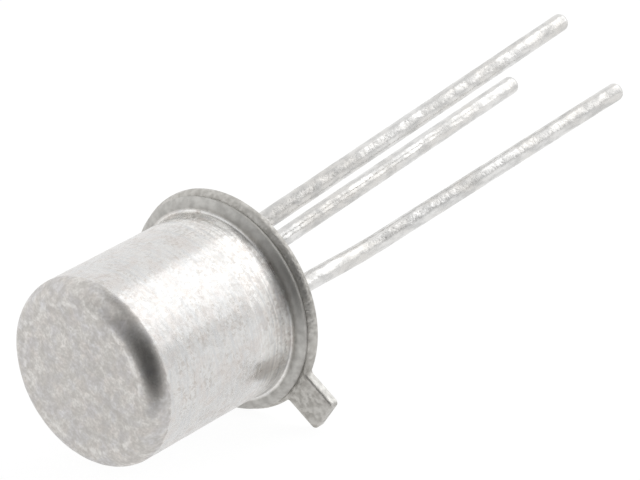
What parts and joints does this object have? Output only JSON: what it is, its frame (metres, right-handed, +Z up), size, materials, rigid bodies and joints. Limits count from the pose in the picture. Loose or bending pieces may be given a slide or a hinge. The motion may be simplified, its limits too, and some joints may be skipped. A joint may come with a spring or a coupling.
{
  "type": "triac",
  "caption": "Triac in a small round metal can with a welded flange, an index tab and straight tinned wire leads, lying on its side.",
  "frame": {"origin": "on the surface that it lies on, under the middle of its outer box", "axes": "+X along the part from the can to the lead tips, +Z up, the index tab towards -Y and down"},
  "size_m": [0.0179, 0.0058, 0.0072],
  "materials": {
    "nickel_plate": "satin nickel plate on drawn steel",
    "header_plate": "matt nickel plate on stamped sheet",
    "seal_glass": "dark sealing glass",
    "tinned_wire": "dimpled bright solder dip",
    "silicon": "polished chip",
    "solder": "dull solder",
    "bond_wire": "bright drawn wire"
  },
  "bodies": {
    "root": {"cap": "nickel_plate", "header": "header_plate", "glass_seal": "seal_glass", "lead_mt1": "tinned_wire", "lead_gate": "tinned_wire", "lead_mt2": "tinned_wire", "die": "silicon", "die_attach": "solder", "bond_wire_mt1": "bond_wire", "bond_wire_gate": "bond_wire"}
  },
  "joints": []
}
